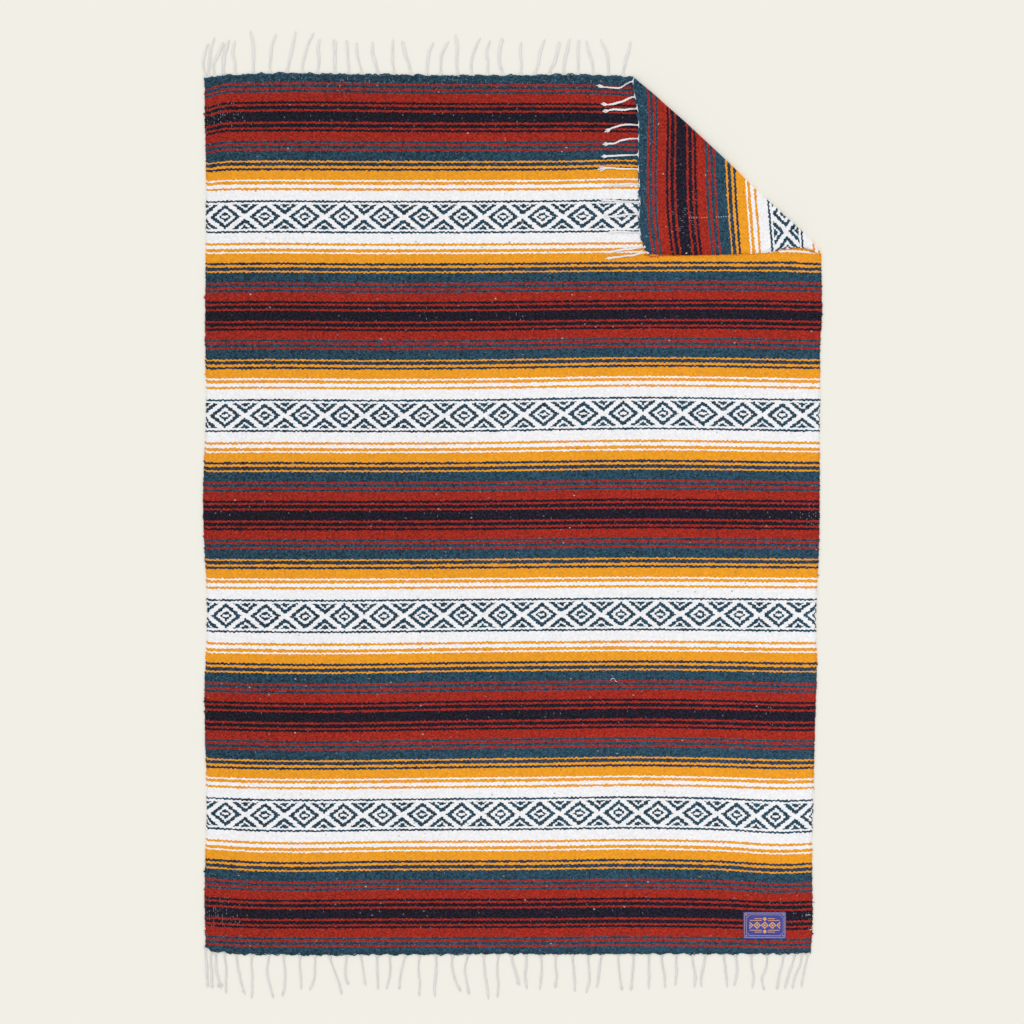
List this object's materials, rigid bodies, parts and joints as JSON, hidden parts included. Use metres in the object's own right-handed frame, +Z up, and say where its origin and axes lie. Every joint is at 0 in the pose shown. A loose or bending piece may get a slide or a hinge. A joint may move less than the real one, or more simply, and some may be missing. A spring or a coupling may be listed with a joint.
{
  "type": "serape blanket",
  "caption": "Striped woven serape blanket laid out flat with one corner turned over, diamond bands, white cotton fringe at both ends and a small sewn-on label.",
  "frame": {"origin": "on the floor, under the middle of the laid-out blanket with its fringe", "axes": "+Z up from the face of the cloth; +Y along the warp towards the end with the turned-over corner; +X across the blanket towards the side with the label"},
  "size_m": [1.2142, 1.899, 0.009],
  "materials": {
    "woven_cloth": "thick weft-faced cotton weave in red, yellow, teal, white and black stripes",
    "fringe_cotton": "matte white twisted cotton cord with frayed ends",
    "label_weave": "fine blue woven label with a gold thread border"
  },
  "bodies": {
    "root": {"woven_panel": "woven_cloth", "fringe_top": "fringe_cotton", "fringe_corner": "fringe_cotton", "fringe_bottom": "fringe_cotton", "label": "label_weave"}
  },
  "joints": []
}
